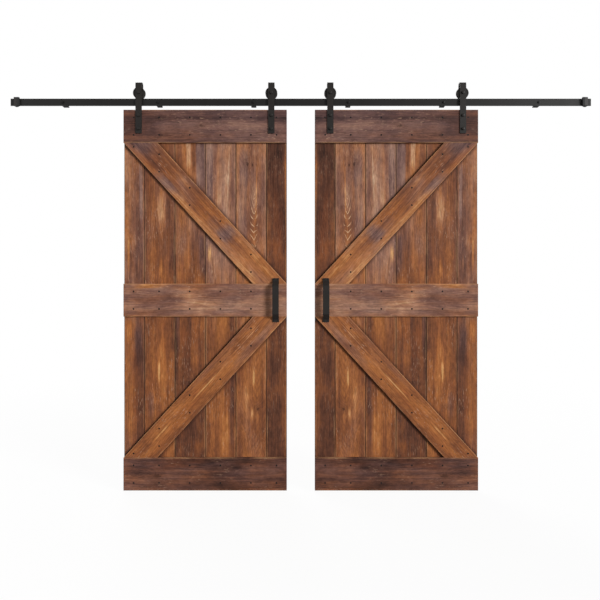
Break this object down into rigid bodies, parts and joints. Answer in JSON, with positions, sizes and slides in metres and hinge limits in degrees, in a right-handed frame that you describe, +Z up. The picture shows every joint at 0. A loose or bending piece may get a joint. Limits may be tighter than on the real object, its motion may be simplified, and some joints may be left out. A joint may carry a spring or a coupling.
{
  "type": "sliding barn door",
  "caption": "Pair of stained plank leaves with K-shaped bracing, hung by strap hangers and grooved wheels from one flat black rail.",
  "frame": {"origin": "on the wall plane behind the rail, at the rail's mid-length and mid-height, midway between the two inner lag screws", "axes": "+X along the rail to the right of someone facing the door, +Y into the wall, +Z up; the door's front faces -Y"},
  "size_m": [3.259, 0.137, 2.2884],
  "materials": {
    "stained_wood": "satin",
    "black_steel": "matte",
    "black_rubber": "matte",
    "bush_steel": "satin"
  },
  "bodies": {
    "track": {"rail": "black_steel", "lag_screws": "black_steel", "stop_screws": "black_steel", "standoff_1": "black_steel", "standoff_2": "black_steel", "standoff_3": "black_steel", "standoff_4": "black_steel", "standoff_5": "black_steel", "standoff_6": "black_steel", "left_stop_body": "black_steel", "left_stop_bumper": "black_rubber", "right_stop_body": "black_steel", "right_stop_bumper": "black_rubber"},
    "left_door": {"left_plank_1": "stained_wood", "left_plank_2": "stained_wood", "left_plank_3": "stained_wood", "left_plank_4": "stained_wood", "left_plank_5": "stained_wood", "left_plank_6": "stained_wood", "left_top_board": "stained_wood", "left_middle_board": "stained_wood", "left_bottom_board": "stained_wood", "left_upper_brace": "stained_wood", "left_lower_brace": "stained_wood", "left_handle": "black_steel", "left_inner_strap": "black_steel", "left_outer_strap": "black_steel", "left_strap_bolts": "black_steel", "left_strap_nuts": "black_steel", "left_axle_bolts": "black_steel", "left_axle_nuts": "black_steel", "left_axle_bushes": "bush_steel"},
    "left_inner_wheel_unit": {"left_inner_wheel": "black_steel"},
    "left_outer_wheel_unit": {"left_outer_wheel": "black_steel"},
    "right_door": {"right_plank_1": "stained_wood", "right_plank_2": "stained_wood", "right_plank_3": "stained_wood", "right_plank_4": "stained_wood", "right_plank_5": "stained_wood", "right_plank_6": "stained_wood", "right_top_board": "stained_wood", "right_middle_board": "stained_wood", "right_bottom_board": "stained_wood", "right_upper_brace": "stained_wood", "right_lower_brace": "stained_wood", "right_handle": "black_steel", "right_inner_strap": "black_steel", "right_outer_strap": "black_steel", "right_strap_bolts": "black_steel", "right_strap_nuts": "black_steel", "right_axle_bolts": "black_steel", "right_axle_nuts": "black_steel", "right_axle_bushes": "bush_steel"},
    "right_inner_wheel_unit": {"right_inner_wheel": "black_steel"},
    "right_outer_wheel_unit": {"right_outer_wheel": "black_steel"}
  },
  "joints": [
    {"name": "left_roll", "type": "slide", "parent": "track", "child": "left_door", "axis": [1, 0, 0], "range_m": [-0.647, 0.0782]},
    {"name": "left_inner_wheel_spin", "type": "hinge", "parent": "left_door", "child": "left_inner_wheel_unit", "pos_m": [-0.1652, -0.046, 0.0503], "axis": [0, 1, 0], "range_deg": [-1240, 150]},
    {"name": "left_outer_wheel_spin", "type": "hinge", "parent": "left_door", "child": "left_outer_wheel_unit", "pos_m": [-0.9076, -0.046, 0.0503], "axis": [0, 1, 0], "range_deg": [-1240, 150]},
    {"name": "right_roll", "type": "slide", "parent": "track", "child": "right_door", "axis": [-1, 0, 0], "range_m": [-0.647, 0.0782]},
    {"name": "right_inner_wheel_spin", "type": "hinge", "parent": "right_door", "child": "right_inner_wheel_unit", "pos_m": [0.1652, -0.046, 0.0503], "axis": [0, 1, 0], "range_deg": [-150, 1240]},
    {"name": "right_outer_wheel_spin", "type": "hinge", "parent": "right_door", "child": "right_outer_wheel_unit", "pos_m": [0.9076, -0.046, 0.0503], "axis": [0, 1, 0], "range_deg": [-150, 1240]}
  ],
  "couplings": [
    {"joint": "left_inner_wheel_spin", "follows": "left_roll", "rad_per_m": 33.333},
    {"joint": "left_outer_wheel_spin", "follows": "left_roll", "rad_per_m": 33.333},
    {"joint": "right_inner_wheel_spin", "follows": "right_roll", "rad_per_m": -33.333},
    {"joint": "right_outer_wheel_spin", "follows": "right_roll", "rad_per_m": -33.333}
  ]
}
